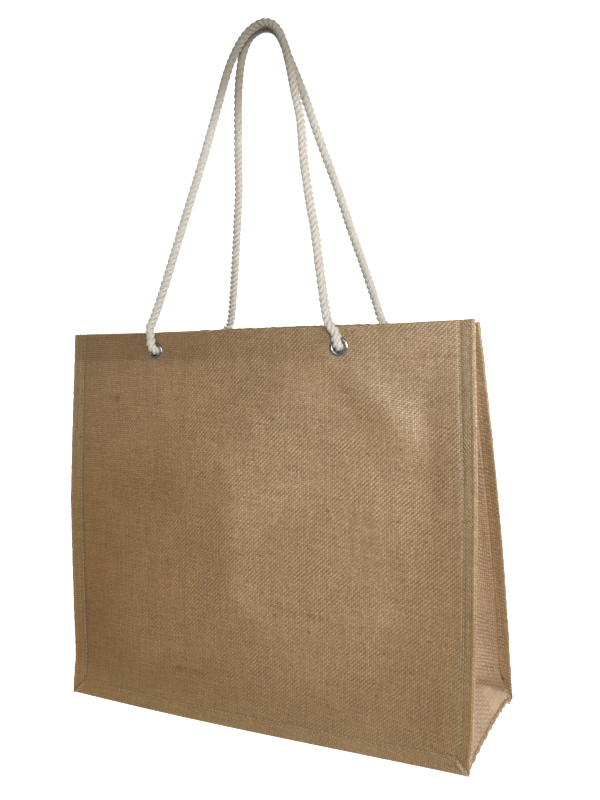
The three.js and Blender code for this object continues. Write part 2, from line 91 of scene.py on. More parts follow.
# Share of the height, and how far the front panel's side edges stand out there
LEFT_EDGE = [(0, 0), (0.11, -3.2), (0.25, 0), (0.54, 4.8), (0.7, 3.6), (1, 0)]
RIGHT_EDGE = [(0, 0), (0.08, 2.7), (0.167, 3.5), (0.3, 4.3), (0.65, 3.7), (1, 0)]

# Soft folds: across, up, turn, half length, half width, rise
FRONT_FOLDS = [
    (32, 300, 42, 62, 24, 2.4), (-13, 180, 88, 90, 24, 2.2), (142, 300, -55, 56, 19, 2.2),
    (176, 262, 90, 84, 17, -1.8), (100, 312, -52, 44, 20, -1.5), (-120, 190, 90, 80, 50, -2.0),
    (90, 120, 20, 90, 50, 1.6),
]
# Patches of painted light and shade on the front: across, up, turn, half length, half width, gain
FRONT_PAINTED_PATCHES = [
    (-66, 48, -3, 17, 1.9, -0.28), (-80, 48.5, -3, 3, 2.2, -0.4), (52, 120, -7, 33, 1.8, -0.2),
    (-150, 311, 0, 3.2, 2.8, -0.42), (40, 215, 0, 125, 110, 0.09), (45, 238, 62, 80, 42, 0.06),
    (145, 308, -52, 42, 15, 0.1), (122, 325, -52, 25, 12, 0.05), (60, 232, 0, 30, 18, 0.09),
    (-130, 215, 0, 80, 45, -0.04), (190, 170, 90, 150, 16, -0.07), (165, 90, 90, 80, 18, -0.05),
    (148, 230, 90, 62, 28, 0.07), (-30, 255, 0, 30, 22, 0.07), (-188, 125, 90, 95, 36, -0.12),
    (-165, 110, 90, 75, 30, -0.08), (0, 34, 0, 230, 28, -0.1), (-110, 40, 0, 110, 28, -0.06),
    (188, 90, 90, 90, 24, -0.07), (146, 92, 90, 28, 14, -0.07), (-112, 222, 0, 42, 36, -0.1),
    (-75, 322, 0, 50, 30, 0.07), (70, 122, 0, 75, 32, 0.1), (-60, 118, 0, 40, 22, 0.07),
]
# Painted shading across the edges of the folds there, each lighter on its left: across, up, turn, half
# length, softness, reach, gain
FRONT_PAINTED_EDGES = [
    (-16, 190, -88, 66, 5, 55, 0.055), (0, 114, -45, 28, 5, 40, 0.04), (10, 285, -124, 28, 5, 40, 0.04),
    (54, 326, -145, 45, 5, 30, 0.04), (138, 304, -51, 55, 6, 26, 0.07),
    (176, 285, 90, 60, 3.5, 26, 0.05),
]
BACK_FOLDS = [
    (-60, 250, 60, 90, 26, 2.4), (70, 230, -62, 90, 26, 2.2), (10, 120, 0, 120, 40, -2.2),
]

# Middle line of each rope between its eyelets, and its bend in an eyelet (out, up)
FRONT_ROUTE = [
    (-99.2, -48.6, 377), (-96.5, -46.4, 384), (-88.6, -42.2, 405), (-66.7, -31.4, 468),
    (-44.9, -20.5, 531), (-31.4, -13.1, 574), (-18.5, -6.8, 614), (-12.2, -5.3, 626), (-4.5, -5.2, 636),
    (5.7, -5.2, 644.2), (18.4, -5.2, 648.2), (28.6, -5.2, 645.8), (35.4, -5.3, 638.5),
    (39.6, -5.6, 629), (43.4, -6.4, 616.7), (52.3, -12, 581), (58.1, -15.7, 558), (63.3, -22.8, 518),
    (68.8, -28, 488), (75.7, -33.4, 456.5), (82.4, -40.2, 417), (88.6, -46, 385), (91.6, -48.4, 376),
]
BACK_ROUTE = [
    (-85.6, 73.2, 371.5), (-81.2, 71, 379), (-72.6, 63.9, 402), (-57.3, 50.7, 451), (-48.7, 42.9, 480),
    (-40.9, 35.8, 507), (-36.2, 30.2, 528), (-28.3, 20.6, 564), (-19.4, 10.9, 600), (-12.8, 6.4, 619),
    (-8.2, 5.4, 630.4), (-2.3, 5.2, 639.4), (5.8, 5.2, 645.2), (14.6, 5.2, 646.8), (23.4, 5.2, 644.6),
    (30.2, 5.2, 638.6), (34.4, 5.3, 630), (38, 6.2, 619), (47.2, 14.6, 586.7), (56.1, 25.4, 545.8),
    (66.2, 36.7, 503.6), (74.8, 48.2, 460.4), (84.3, 59.9, 417), (91.4, 70.4, 379), (92.8, 72.8, 371.5),
]
EYELET_BEND = [(-3.2, -0.1), (-0.4, 0.1), (2.2, 0.5), (4.6, 1.6), (6.3, 3.4), (7.3, 6.2), (7.4, 10)]


def turned(a, b, angle):
    """Lengths along two axes, or the axes themselves, after a turn in their plane."""
    c, s = math.cos(angle), math.sin(angle)
    return a * c + b * s, b * c - a * s


def place(points):
    """Millimetres in the bag's frame to metres in the row frame."""
    p = np.asarray(points, float) - (HANG_X, 0, HANG_Z)
    x, z = turned(p[..., 0], p[..., 2], TILT)
    return np.stack([x, p[..., 1], z], -1) * 0.001


def turn(vector):
    """A direction in the bag's frame to one in the row frame."""
    x, z = turned(vector[0], vector[2], TILT)
    return Vector((x, vector[1], z))


def smooth(share):
    k = np.clip(share, 0, 1)
    return k * k * (3 - 2 * k)


def lerp(a, b, k):
    return a + (b - a) * k


def bell(x, width):
    return np.exp(-((x / width) ** 2))


def unit(v):
    return v / np.maximum(np.linalg.norm(v, axis=-1, keepdims=True), 1e-12)


def noise(x, y, seed):
    """Smooth noise from -1 to 1 that repeats the same way on every run."""
    x, y = np.broadcast_arrays(np.asarray(x, float), np.asarray(y, float))
    i, j = np.floor(x), np.floor(y)
    u, v = smooth(x - i), smooth(y - j)

    def corner(di, dj):
        h = np.sin((i + di) * 127.1 + (j + dj) * 311.7 + seed * 74.7) * 43758.5453
        return (h - np.floor(h)) * 2 - 1

    low = lerp(corner(0, 0), corner(1, 0), u)
    high = lerp(corner(0, 1), corner(1, 1), u)
    return lerp(low, high, v)


# The bag's form, as in the part's source


def bow(rows, k):
    return np.interp(k, [r[0] for r in rows], [r[1] for r in rows])


def seam_dip(across, up):
    inward = np.minimum(HALF - np.abs(across), up)
    return np.where(inward < FLANGE, inward / FLANGE, np.clip(1 - (inward - FLANGE) / SEAM_DIP_RUN, 0, 1))


def relief(side, across, up):
    edge = np.minimum(np.minimum(HALF - FLANGE - np.abs(across), up - FLANGE), HEM_LINE - up)
    total = 0
    for x, z, angle, long, wide, rise in FRONT_FOLDS if side == FRONT else BACK_FOLDS:
        along, off = turned(across - x, up - z, math.radians(angle))
        total += rise * np.exp(-((along / long) ** 2) - (off / wide) ** 2)
    return total * smooth(edge / FOLD_FADE) - SEAM_DIP * seam_dip(across, up)


def wall(side, across, up):
    a, t = np.broadcast_arrays(np.asarray(across, float), np.asarray(up, float))
    middle = MOUTH_FRONT if side == FRONT else MOUTH_BACK
    k = t / HEIGHT
    u = a / WIDTH + 0.5
    mouth = MOUTH_END + (middle - MOUTH_END) * np.cos(math.pi * a / WIDTH)
    slope = (middle - MOUTH_END) * math.pi / WIDTH
    wave = a / 2 - WIDTH / (4 * math.pi) * np.sin(2 * math.pi * a / WIDTH)
    x = a * (1 - BASE_DRAW_IN * (1 - k)) - slope * slope / 2 * wave * k
    z = t * math.sqrt(1 - ((DEPTH / 2 - MOUTH_END) / HEIGHT) ** 2)
    if side == FRONT:
        x = x + u * bow(RIGHT_EDGE, k) - (1 - u) * bow(LEFT_EDGE, k)
        z = z - (1 - k) * BASE_SAG * np.sin(math.pi * u) * (1 - SAG_FADE * u)
        z = z + TIP_RISE * k**8 * np.maximum(0, 2 * u - 1) ** 6
    else:
        x = x + (2 * u - 1) * BACK_BOW * np.sin(math.pi * k) + BACK_RIGHT * k
        z = z - BACK_DROP * k
    lean = side * lerp(DEPTH / 2, mouth, k) - MOUTH_FORWARD * k
    return np.stack([x, lean + side * relief(side, a, t), z], -1)


def wall_out(side, across, up):
    """The way out of the bag at a point of a panel."""
    right = wall(side, across + 2.0, up) - wall(side, across - 2.0, up)
    rise = wall(side, across, up + 2.0) - wall(side, across, up - 2.0)
    return unit(np.cross(right, rise) * -side)


def seam_point(side, across, up):
    point = wall(side, across, up)
    point[..., 1] -= side * (CLOTH + SEAM_GAP)
    return point


def eyelet_frame(side, end):
    centre = wall(side, end * EYELET_SPREAD, EYELET_UP)
    out = wall_out(side, end * EYELET_SPREAD, EYELET_UP)
    rise = unit(np.array([0, 0, 1.0]) - out * out[2])
    return centre, out, rise


# Camera, made first


CAMERA_AT = [406.2, -713.1, 397.3]
CAMERA_TURN = (27.516, -6.799, -3.010)
SENSOR, FOCAL_PIXELS, IMAGE_LONG_SIDE = 36.0, 847.0, 800.0


def make_camera():
    yaw, pitch, roll = (math.radians(v) for v in CAMERA_TURN)
    right, ahead, up = np.eye(3)
    right, ahead = turned(right, ahead, yaw)
    look, over = turned(ahead, up, pitch)
    side, top = turned(right, over, roll)
    data = bpy.data.cameras.new("camera")
    data.sensor_fit = "AUTO"
    data.sensor_width = SENSOR
    data.lens = SENSOR * FOCAL_PIXELS / IMAGE_LONG_SIDE
    data.clip_start = 0.02
    data.clip_end = 60.0
    cam = bpy.data.objects.new("camera", data)
    bpy.context.scene.collection.objects.link(cam)
    columns = [turn(side), turn(top), -turn(look)]
    facing = Matrix(columns).transposed().to_4x4()
    cam.matrix_world = Matrix.Translation(Vector(place(CAMERA_AT))) @ facing
    bpy.context.scene.camera = cam


make_camera()


# Mesh helpers


def add_mesh(name, points, faces, flat=False):
    mesh = bpy.data.meshes.new(name)
    mesh.from_pydata(points, [], faces)
    mesh.validate()
    mesh.polygons.foreach_set("use_smooth", [not flat] * len(mesh.polygons))
    mesh.update()
    obj = bpy.data.objects.new(name, mesh)
    bpy.context.scene.collection.objects.link(obj)
    return obj


def new_object(name, points, faces, uv=None, tone=None, flat=False, weave=None):
    """An object from points in the bag's frame (mm). uv, tone and weave have a row for each point,
    and tone's is a tint in red, green and blue with the weave's contrast after it."""
    obj = add_mesh(name, place(points).tolist(), faces, flat)
    mesh = obj.data
    corner = np.empty(len(mesh.loops), dtype=np.int32)
    mesh.loops.foreach_get("vertex_index", corner)
    for layer_name, values in (("cloth", uv), ("weave", weave)):
        if values is not None:
            layer = mesh.uv_layers.new(name=layer_name)
            layer.data.foreach_set("uv", np.asarray(values, float)[corner].astype(np.float32).ravel())
    if tone is not None:
        attribute = mesh.attributes.new("tone", "FLOAT_COLOR", "POINT")
        attribute.data.foreach_set("color", tone.astype(np.float32).ravel())
    return obj


def grid_faces(rows, cols, start=0, wrap=False, ring=False):
    """Faces of a grid. wrap joins its last column to its first, and ring its last row to its first."""
    i, j = np.mgrid[: rows if ring else rows - 1, : cols if wrap else cols - 1]
    a = start + i * cols + j
    b = start + i * cols + (j + 1) % cols
    faces = np.stack([a, b, b + cols, a + cols], -1).reshape(-1, 4)
    return faces % (rows * cols) if ring else faces


def both_faces(values):
    """One row for each point of a sheet's grid, for its outer and then its inner face."""
    return np.tile(values.reshape(-1, values.shape[-1]), (2, 1))


def grid_normals(grid):
    rows = np.gradient(grid, axis=0)
    cols = np.gradient(grid, axis=1)
    return unit(np.cross(cols, rows))


def sheet_parts(grid, above, below, uv):
    """Closed sheet about a grid of middle points: points, faces and uv."""
    rows, cols = grid.shape[:2]
    normal = grid_normals(grid)
    points = np.stack([grid + normal * above[..., None], grid - normal * below[..., None]]).reshape(-1, 3)
    n = rows * cols
    top = grid_faces(rows, cols)
    bottom = grid_faces(rows, cols, n)[:, ::-1]
    loop = list(range(cols))
    loop += [i * cols + cols - 1 for i in range(1, rows)]
    loop += [(rows - 1) * cols + j for j in range(cols - 2, -1, -1)]
    loop += [i * cols for i in range(rows - 2, 0, -1)]
    rim = [[b, a, a + n, b + n] for a, b in zip(loop, loop[1:] + loop[:1])]
    return points, top.tolist() + bottom.tolist() + rim, both_faces(uv)


def dress(obj, look, node=None):
    """Gives a piece its material and slot, puts it under the root body, and hides the part node that it
    stands for.
    """
    obj.data.materials.append(look)
    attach(obj, "root")
    if node:
        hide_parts(node)


def revolve(profile, centre, out, rise):
    """Closed ring from (radius, height) rows, turned about the axis out."""
    across = np.cross(out, rise)
    angle = np.arange(RING_SIDES) * 2 * math.pi / RING_SIDES
    ring = np.cos(angle)[:, None] * across + np.sin(angle)[:, None] * rise
    radius, height = np.array(profile[::-1], float).T[..., None, None]
    grid = centre + radius * ring + height * out
    return grid.reshape(-1, 3), grid_faces(len(profile), RING_SIDES, wrap=True, ring=True).tolist()


def join_parts(parts):
    """Several parts as one. Each is points, faces and any rows that go with the points."""
    joined, at = [], 0
    for points, faces, *_ in parts:
        joined += [[i + at for i in face] for face in faces]
        at += len(points)
    points, _, *rows = zip(*parts)
    return [np.concatenate(points), joined] + [np.concatenate(row) for row in rows]


# Material helpers


class Value:
    """A value in a material, on which +, - and * add Math nodes."""

    def __init__(self, nodes, socket):
        self.nodes = nodes
        self.socket = socket

    def __add__(self, other):
        return self.nodes.math("ADD", self, other)

    def __sub__(self, other):
        return self.nodes.math("SUBTRACT", self, other)

    def __mul__(self, other):
        return self.nodes.math("MULTIPLY", self, other)


class Nodes:
    """A material and the nodes that are added to it."""

    def __init__(self, name):
        self.material = bpy.data.materials.new(name)
        self.material.use_nodes = True
        self.tree = self.material.node_tree
        self.tree.nodes.clear()
        self.shader = self.node("BsdfPrincipled")
        self.node("OutputMaterial", [self.value(self.shader)])

    def put(self, socket, value):
        if isinstance(value, Value):
            self.tree.links.new(value.socket, socket)
        elif value is not None:
            socket.default_value = value

    def surface(self, values):
        for name, value in values.items():
            self.put(self.shader.inputs[name], value)

    def node(self, kind, inputs=(), **settings):
        """A node. Its inputs are a row of values from the first one on, or a dict by name."""
        made = self.tree.nodes.new("ShaderNode" + kind)
        for key, value in settings.items():
            setattr(made, key, value)
        for key, value in inputs.items() if isinstance(inputs, dict) else enumerate(inputs):
            self.put(made.inputs[key], value)
        return made

    def value(self, made, output=0):
        return Value(self, made.outputs[output])

    def math(self, operation, a, b=None):
        return self.value(self.node("Math", (a, b), operation=operation))

    def ramp(self, value, low, high, to_low=0.0, to_high=1.0, how="LINEAR"):
        row = (value, low, high, to_low, to_high)
        return self.value(self.node("MapRange", row, interpolation_type=how))

    def vector(self, x, y, z=0.0):
        return self.value(self.node("CombineXYZ", (x, y, z)))

    def noise(self, vector, scale, detail=2.0, rough=0.5):
        row = {"Vector": vector, "Scale": scale, "Detail": detail, "Roughness": rough}
        return self.value(self.node("TexNoise", row), "Fac")

    def noise_at(self, x, y, z=0.0, detail=2.0, rough=0.5):
        return self.noise(self.vector(x, y, z), 1.0, detail, rough)

    def white(self, vector):
        return self.value(self.node("TexWhiteNoise", [vector], noise_dimensions="3D"), "Value")

    def mix(self, share, a, b, how="MIX", kind="RGBA"):
        row = {"Factor": share, "A": a, "B": b}
        return self.value(self.node("Mix", row, data_type=kind, blend_type=how), "Result")

    def bump(self, height, strength, distance, after=None):
        row = {"Strength": strength, "Distance": distance, "Height": height, "Normal": after}
        return self.value(self.node("Bump", row))

    def tone(self):
        made = self.node("Attribute", attribute_type="GEOMETRY", attribute_name="tone")
        return self.value(made, "Color"), self.value(made, "Alpha")

    def spots(self):
        return self.value(self.node("TexCoord"), "Object")

    def split(self, vector):
        parts = self.node("SeparateXYZ", [vector])
        return self.value(parts, 0), self.value(parts, 1)

    def uv(self, layer="cloth"):
        return self.split(self.value(self.node("UVMap", uv_map=layer)))


def srgb(r, g, b):
    def line(v):
        v /= 255
        return v / 12.92 if v <= 0.04045 else ((v + 0.055) / 1.055) ** 2.4

    return (line(r), line(g), line(b), 1.0)


def jute(name, light, dark, slant=1.0, stretch=1.0, ribs=(0.06, 0.22)):
    """Coarse plain weave of uneven yarns, with painted glints and painted shade in its gaps. slant is +1 or
    -1, for the way the painted glints on the crossings line up in diagonals, stretch is how steep these are,
    and ribs are their least and greatest strengths."""
    wander, roundness, lift, level = 0.3, 0.7, 0.42, 0.56
    n = Nodes(name)
    a, t = n.uv()
    u, v = n.uv("weave")
    tint, contrast = n.tone()
    on_cloth = n.vector(a, t)
    i = n.math("FLOOR", u)
    j = n.math("FLOOR", v)
    # each yarn wanders and swells along its own length
    u = u + (n.noise_at(i * 3.7, t * 0.11, detail=1.0) - 0.5) * wander
    v = v + (n.noise_at(j * 5.3, a * 0.11, detail=1.0) - 0.5) * wander
    su = n.math("SINE", u * math.pi)
    sv = n.math("SINE", v * math.pi)
    au = n.math("POWER", n.math("ABSOLUTE", su), roundness)
    av = n.math("POWER", n.math("ABSOLUTE", sv), roundness)
    fat_w = n.ramp(n.noise_at(i * 2.9, t * 0.05, 3.0), 0.3, 0.75, 0.82, 1.2)
    fat_f = n.ramp(n.noise_at(j * 4.1, a * 0.05, 9.0), 0.3, 0.75, 0.78, 1.24)
    warp = au * fat_w * (n.math("SIGN", su) * sv * lift + level)
    weft = av * fat_f * (n.math("SIGN", sv) * su * -lift + level)
    height = n.math("MAXIMUM", warp, weft)
    # each yarn has its own tone, and fibres streak along it
    tone_w = n.noise_at(i * 7.1, t * 0.03, 1.0, rough=0.6)
    tone_f = n.noise_at(j * 6.3, a * 0.03, 5.0, rough=0.6)
    yarn = n.mix(n.math("GREATER_THAN", warp, weft), tone_f, tone_w, kind="FLOAT")
    fleck = n.noise_at(a * 0.32, t * 0.36, 2.0, rough=0.7)
    cloud = n.noise(on_cloth, 0.013, 3.0, 0.55)
    colour = n.mix(n.ramp(yarn * 0.42 + (fleck * 0.3 + cloud * 0.16), 0.25, 0.65), dark, light)
    # painted glint: the colour is lighter along one diagonal of the crossings, where the twist of the yarns
    # would catch the light, more in some places than in others; each crossing also has its own tone
    diagonal = n.math("COSINE", (u * stretch - v * slant) * math.pi)
    where = n.ramp(n.noise(on_cloth, 0.02), 0.35, 0.65, *ribs)
    cell = n.white(n.vector(i, j)) - 0.5
    painted_glint_and_cell_tone = (diagonal * where + su * sv * 0.1 + cell * 0.26) * contrast + 1.0
    # painted shade in the gaps between the yarns, with a few dark specks
    speck = n.math("GREATER_THAN", n.white(n.vector(n.math("FLOOR", u * 0.6), j, 4.0)), 0.9982)
    deep_shade = n.ramp(height, 0.12, 0.75, 0.47, 1.07) - speck * 0.3
    # where the contrast is least the cloth is seen as smooth
    clear = n.ramp(contrast, 0.05, 0.4, 0.1, 1.0)
    deep_shade = (deep_shade - 1.0) * clear + 1.0
    shade = n.math("MAXIMUM", deep_shade * painted_glint_and_cell_tone, 0.05)
    # the painted shade in the gaps between yarns is redder than their tops
    powers = [n.math("POWER", shade, power) for power in (0.8, 1.0, 1.4)]
    warm_shade = n.value(n.node("CombineColor", powers))
    fibres = n.noise_at(a * 5.0, t * 5.0, detail=3.0, rough=0.7)
    flat_top = n.ramp(height, 0.08, 0.62, how="SMOOTHSTEP")
    n.surface({
        "Base Color": n.mix(1.0, n.mix(1.0, colour, warm_shade, "MULTIPLY"), tint, "MULTIPLY"),
        "Roughness": n.ramp(height, 0.2, 0.7, 1.0, 0.45),
        "Specular IOR Level": 1.0,
        "Normal": n.bump(flat_top, clear * 0.7, 0.0003, n.bump(fibres, 0.25, 0.0002)),
    })
    return n.material


def cotton(name, light, dark):
    """Twisted cotton: yarns run across each strand. uv is round and along, in millimetres."""
    yarn_pitch, yarn_slope = 1.25, -0.62
    n = Nodes(name)
    u, v = n.uv()
    on_rope = n.vector(u, v)
    wander = n.noise(on_rope, 0.25)
    stripe = n.math("SINE", (u + v * yarn_slope + wander) * (2 * math.pi / yarn_pitch))
    fibre = n.noise_at(u * 6.0, v * 2.0, detail=3.0, rough=0.7)
    dirt = n.noise(on_rope, 0.05, 3.0)
    colour = n.mix(n.ramp(stripe * 0.14 + (fibre * 0.5 + dirt * 0.6), 0.25, 0.9), dark, light)
    n.surface({
        "Base Color": n.mix(1.0, colour, n.tone()[0], "MULTIPLY"),
        "Roughness": 0.8,
        "Specular IOR Level": 0.25,
        "Sheen Weight": 0.15,
        "Normal": n.bump(stripe, 0.6, 0.0003, n.bump(fibre, 0.3, 0.0002)),
    })
    return n.material


def nickel(name):
    n = Nodes(name)
    grain = n.noise(n.spots(), 900.0, 3.0, 0.6)
    wear = n.noise(n.spots(), 220.0)
    n.surface({
        "Base Color": n.mix(wear, srgb(205, 205, 208), srgb(168, 166, 165)),
        "Metallic": 1.0,
        "Roughness": n.ramp(grain, 0.3, 0.8, 0.14, 0.32),
        "Normal": n.bump(grain, 0.08, 0.0001),
    })
    return n.material


def thread(name):
    n = Nodes(name)
    twist = n.noise(n.spots(), 1800.0)
    n.surface({
        "Base Color": n.mix(twist, srgb(140, 127, 94), srgb(174, 162, 127)),
        "Roughness": 0.7,
        "Normal": n.bump(twist, 0.4, 0.0002),
    })
    return n.material


look_jute = jute("jute_weave", srgb(191, 152, 102), srgb(131, 98, 59))
look_gusset = jute("jute_weave_gusset", srgb(196, 160, 116), srgb(133, 98, 63), -1.0, 0.38, (0.12, 0.28))
look_rope = cotton("cotton_rope", srgb(247, 242, 230), srgb(222, 213, 196))
look_nickel = nickel("nickel")
look_thread = thread("seam_thread")


# Ropes


def measure(line):
    """How far along a line of points each one lies."""
    return np.concatenate([[0], np.cumsum(np.linalg.norm(np.diff(line, axis=0), axis=1))])


def pick_along(line, at, where):
    return np.stack([np.interp(where, at, line[:, i]) for i in range(3)], -1)


def curve_through(points, count):
    """Smooth curve through the points, as evenly spaced points, and its length."""
    p = [Vector(q) for q in points]
    p = [p[0] * 2 - p[1]] + p + [p[-1] * 2 - p[-2]]
    fine, per = [], 40
    for i in range(1, len(p) - 2):
        p0, p1, p2, p3 = p[i - 1 : i + 3]
        d0, d1, d2 = (max((b - a).length ** 0.5, 1e-4) for a, b in ((p0, p1), (p1, p2), (p2, p3)))
        t1 = ((p1 - p0) / d0 - (p2 - p0) / (d0 + d1) + (p2 - p1) / d1) * d1
        t2 = ((p2 - p1) / d1 - (p3 - p1) / (d1 + d2) + (p3 - p2) / d2) * d1
        for s in range(per):
            k = s / per
            square = (p1 * -3 + p2 * 3 - t1 * 2 - t2) * k**2
            fine.append(p1 + t1 * k + square + (p1 * 2 - p2 * 2 + t1 + t2) * k**3)
    fine.append(p[-2])
    fine = np.array([tuple(q) for q in fine])
    at = measure(fine)
    return pick_along(fine, at, np.linspace(0, at[-1], count)), at[-1]


def frames_along(path, closed=False):
    """Frames that turn as little as possible along a path."""
    ahead = unit(np.gradient(path, axis=0))
    if closed:
        ahead = unit(np.roll(path, -1, axis=0) - np.roll(path, 1, axis=0))
    normal = np.cross(ahead[0], [0, 1.0, 0])
    if np.linalg.norm(normal) < 0.1:
        normal = np.cross(ahead[0], [1.0, 0, 0])
    normals = [normal / np.linalg.norm(normal)]
    for d in ahead[1:]:
        n = normals[-1] - d * np.dot(normals[-1], d)
        normals.append(n / np.linalg.norm(n))
    normals = np.array(normals)
    return normals, np.cross(ahead, normals)


# The middle of a handle, pressed flat and darkened with painted shade: half its length, its fade, how flat it
# is, and how the painted shade darkens each colour
MIDDLE_HALF, MIDDLE_FADE, MIDDLE_FLAT, MIDDLE_SHADE_TINT = 45, 70, 0.55, np.array([1.27, 1.39, 1.55])
STRAND_REACH = 0.478


def strands(path, length, radius, around, closed=False, taper=0.0, seed=0.0, middle_shade=0.0):
    """Three strands twisted about a path: points, faces, uv and tone. The last argument sets the painted
    shade that darkens and browns the middle, where the strands are also pressed flat.
    """
    count = len(path)
    normals, binormals = frames_along(path, closed)
    phi = np.arange(around) * 2 * math.pi / around
    local = (phi * 3 / (2 * math.pi)) % 1.0
    psi = (local - 0.5) * 2 * math.pi / 3
    reach = radius * STRAND_REACH
    strand = radius - reach
    profile = reach * np.cos(psi) + np.sqrt(np.maximum(strand**2 - (reach * np.sin(psi)) ** 2, 0))
    s = np.linspace(0, length, count)
    if closed:
        s = np.arange(count) * length / count
        mis = np.arctan2(np.dot(normals[-1], binormals[0]), np.dot(normals[-1], normals[0]))
        twist = 2 * math.pi * round(length / ROPE_LAY) * s / length - mis * s / length
    else:
        twist = 2 * math.pi * s / ROPE_LAY
    angle = phi[None, :] + twist[:, None]
    swell = 1 + 0.02 * noise(s / 9.0, seed, 3)[:, None]
    swell = swell + 0.015 * noise(s[:, None] / 4.0, local[None] * 3 + seed, 5)
    end = np.ones(count)
    if taper and not closed:
        end = np.clip(np.minimum(s, length - s) / taper, 0, 1) ** 0.5 * 0.2 + 0.8
    # the middle of the handle, pressed flat and darkened with painted shade
    at_middle = 1 - smooth((np.abs(s - length / 2) - MIDDLE_HALF) / MIDDLE_FADE)
    pressed = MIDDLE_FLAT * at_middle[:, None] * (middle_shade > 0)
    r = lerp(profile[None], profile.mean(), pressed) * swell * end[:, None]
    points = path[:, None] + r[..., None] * (
        np.cos(angle)[..., None] * normals[:, None] + np.sin(angle)[..., None] * binormals[:, None]
    )
    # painted shade in the grooves between the strands
    depth = (profile - profile.min()) / (profile.max() - profile.min())
    tone = (0.92 + 0.1 * smooth(depth * 1.5))[None, :, None] * (1 - middle_shade * at_middle)[:, None, None] ** MIDDLE_SHADE_TINT
    tone = np.concatenate([tone, np.ones_like(tone[..., :1])], -1).reshape(-1, 4)
    uv = np.stack(np.broadcast_arrays(phi[None] * radius, s[:, None]), -1).reshape(-1, 2)
    faces = grid_faces(count, around, wrap=True, ring=closed).tolist()
    if closed:
        return points.reshape(-1, 3), faces, uv, tone
    points = np.concatenate([points.reshape(-1, 3), path[:1], path[-1:]])
    last, centre = (count - 1) * around, count * around
    for j in range(around):
        k = (j + 1) % around
        faces.append([k, j, centre])
        faces.append([last + j, last + k, centre + 1])
    tone = np.concatenate([tone, np.full((2, 4), 0.7)])
    return points, faces, np.concatenate([uv, [[0, 0], [0, length]]]), tone


def knot_parts(side, end):
    """A tight overhand knot behind an eyelet, with its tail hanging down."""
    centre, out, rise = eyelet_frame(side, end)
    across = np.cross(out, rise)
    mid = centre - out * (KNOT_FACE + KNOT_RADIUS * KNOT_SQUASH)
    thick = 3.7
    t = np.linspace(0, 2 * math.pi, 150, endpoint=False)
    size = (KNOT_RADIUS - thick) / 3
    x = size * (np.sin(t) + 2 * np.sin(2 * t))
    z = size * (np.cos(t) - 2 * np.cos(2 * t))
    y = -(KNOT_RADIUS * KNOT_SQUASH - thick) * np.sin(3 * t)
    loop = mid + x[:, None] * across + z[:, None] * rise + y[:, None] * out
    length = np.linalg.norm(loop - np.roll(loop, 1, axis=0), axis=1).sum()
    first = strands(loop, length, thick + 0.5, 18, closed=True, seed=4.0)
    low = KNOT_RADIUS + TAIL * 0.7
    route = ((2, 1, 2), (3, 3, 8), (3.1, 3.1, 15), (3.1, 3.1, low))
    stem, long = curve_through([mid + across * a - out * b - rise * c for a, b, c in route], 30)
    second = strands(stem, long, ROPE_RADIUS - 0.3, 18, taper=2.0, seed=9.0)
    return join_parts([first, second])


for (word, side), route in zip(SIDES, (FRONT_ROUTE, BACK_ROUTE)):
    bends = []
    for end in (-1, 1):
        centre, out, rise = eyelet_frame(side, end)
        bends.append([centre + out * o + rise * u for o, u in EYELET_BEND])
    line = bends[0] + [np.array(p, float) for p in route] + bends[1][::-1]
    path, length = curve_through([tuple(p) for p in line], 520)
    parts = strands(path, length, ROPE_RADIUS, 30, seed=side, middle_shade=0.42)
    rope = new_object(f"rope_{word}_strands", *parts)
    for hand, end in HANDS:
        knot = new_object(f"knot_{word}_{hand}_rope", *knot_parts(side, end))
        dress(knot, look_rope, f"knot_{word}_{hand}")
    dress(rope, look_rope, f"rope_{word}")
    tuple(place(line[0]))
    place(path).tolist()


# Eyelets and washers


DOME, LIP_RADIUS, LIP_ROUND, RING_SIDES = 1.15, BARREL_RADIUS + 1.2, 0.75, 56


def eyelet_profile():
    """Domed outer ring, barrel, and a rolled lip on the inside: (radius, height) rows."""
    face = CLOTH / 2 + FIT
    lip = WASHER_Y - EYELET_PLATE - FIT
    middle, half = (FLANGE_RADIUS + HOLE_RADIUS) / 2, (FLANGE_RADIUS - HOLE_RADIUS) / 2
    rows = [
        (middle - half * math.cos(q), face + 0.15 + DOME * math.sin(q)) for q in np.linspace(0, math.pi, 13)
    ]
    rows += [(FLANGE_RADIUS - 0.15, face - 0.12), (BARREL_RADIUS, face), (BARREL_RADIUS, lip + 0.2)]
    middle, half = (LIP_RADIUS + HOLE_RADIUS) / 2, (LIP_RADIUS - HOLE_RADIUS) / 2
    rows += [(middle + half * math.cos(q), lip - LIP_ROUND * math.sin(q)) for q in np.linspace(0, math.pi, 9)]
    return rows


def washer_profile():
    top, bottom = WASHER_Y, WASHER_Y - EYELET_PLATE
    rim = FLANGE_RADIUS
    rows = [(HOLE_CUT, top), (rim - 0.2, top), (rim, top - 0.25), (rim - 0.1, bottom + 0.2)]
    return rows + [(rim - 0.5, bottom), (HOLE_CUT, bottom)]


for word, side in SIDES:
    for hand, end in HANDS:
        centre, out, rise = eyelet_frame(side, end)
        ring = revolve(eyelet_profile(), centre, out, rise)
        eyelet = new_object(f"eyelet_{word}_{hand}_ring", *ring)
        ring = revolve(washer_profile(), centre, out, rise)
        washer = new_object(f"washer_{word}_{hand}_ring", *ring, flat=True)
        dress(eyelet, look_nickel, f"eyelet_{word}_{hand}")
        dress(washer, look_nickel, f"washer_{word}_{hand}")


# Panels


def spaced(stops, gaps):
    """Positions through the stops, with about the given gap in each stretch."""
    out = [stops[0]]
    for a, b, gap in zip(stops, stops[1:], gaps):
        count = max(1, round((b - a) / gap))
        out += [lerp(a, b, (i + 1) / count) for i in range(count)]
    return np.array(out)


